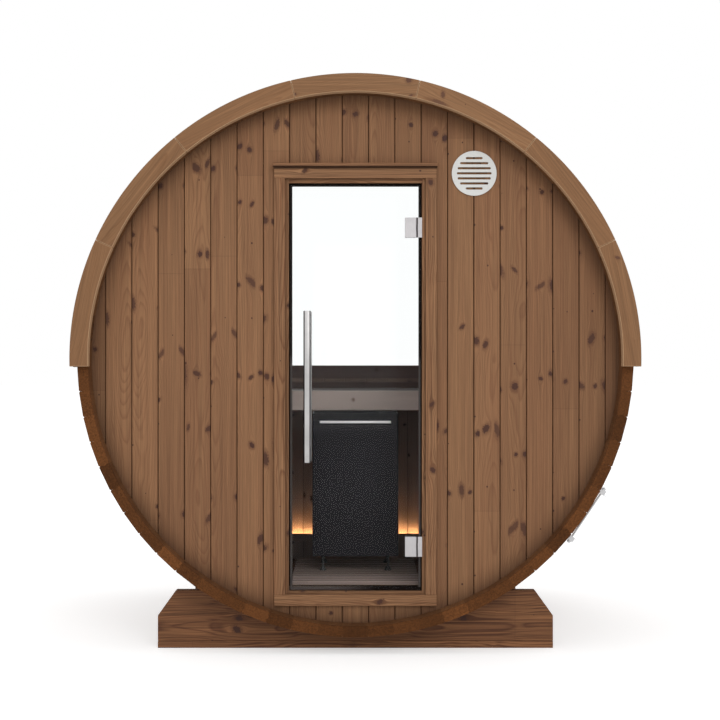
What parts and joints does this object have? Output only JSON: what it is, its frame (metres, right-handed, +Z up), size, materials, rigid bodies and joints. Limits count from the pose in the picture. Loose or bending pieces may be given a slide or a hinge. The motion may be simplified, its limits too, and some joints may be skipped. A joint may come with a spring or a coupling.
{
  "type": "barrel sauna house",
  "caption": "Lying barrel of wooden staves on two cradles, with a board front wall and outward glass door, a half-moon rear window, bench, duckboard, heater and ledge light.",
  "frame": {"origin": "on the ground under the middle of the house", "axes": "+Z up, the glass door faces -Y, the barrel lies along Y, +X to the right as seen from the front"},
  "size_m": [2.2698, 1.89, 2.3177],
  "materials": {
    "stave_wood": "thermally treated softwood, planed, oiled",
    "cradle_wood": "thermally treated softwood, planed",
    "roof_wood": "thermally treated softwood, planed, oiled",
    "fascia_wood": "thermally treated softwood, planed, oiled",
    "wall_wood": "thermally treated softwood boards, planed, oiled",
    "trim_wood": "thermally treated softwood trim, planed, oiled",
    "inside_wood": "thermally treated softwood, planed, bare",
    "clear_glass": "clear toughened glass",
    "stainless": "brushed stainless steel",
    "hinge_metal": "satin",
    "vent_plastic": "moulded, light grey",
    "black_rubber": "extruded seal",
    "heater_black": "matt black heat-resistant paint",
    "sauna_stone": "broken grey stones",
    "warm_light": "diffuser of a warm light strip"
  },
  "bodies": {
    "house": {"shell_bottom": "stave_wood", "shell_left": "stave_wood", "shell_right": "stave_wood", "cradle_front": "cradle_wood", "cradle_rear": "cradle_wood", "ground_runners": "cradle_wood", "roof_boards": "roof_wood", "fascia_front": "fascia_wood", "fascia_rear": "fascia_wood", "steel_bands": "stainless", "band_tensioners": "stainless", "front_wall_left": "wall_wood", "front_wall_right": "wall_wood", "front_wall_over_door": "wall_wood", "front_wall_under_door": "wall_wood", "back_wall_lower": "wall_wood", "window_sill": "trim_wood", "window_arch": "trim_wood", "window_glass": "clear_glass", "casing_sides": "trim_wood", "casing_head": "trim_wood", "casing_foot": "trim_wood", "drip_cap": "trim_wood", "jamb_sides": "trim_wood", "jamb_head": "trim_wood", "threshold": "trim_wood", "door_seal": "black_rubber", "hinge_frame_leaves": "hinge_metal", "vent_grille": "vent_plastic", "vent_slider": "inside_wood", "duckboard_slats": "inside_wood", "duckboard_runners": "inside_wood", "bench_slats": "inside_wood", "bench_front_board": "inside_wood", "bench_bearers": "inside_wood", "bench_back_rail": "inside_wood", "heater_body": "heater_black", "heater_stones": "sauna_stone", "heater_feet": "heater_black", "heater_bar": "stainless", "light_ledge": "inside_wood", "light_strip": "warm_light"},
    "door": {"door_glass": "clear_glass", "door_handles": "stainless", "hinge_glass_plates": "hinge_metal"}
  },
  "joints": [
    {"name": "door_swing", "type": "hinge", "parent": "house", "child": "door", "pos_m": [0.249, -0.829, 1.071], "axis": [0, 0, 1], "range_deg": [0, 110]}
  ]
}
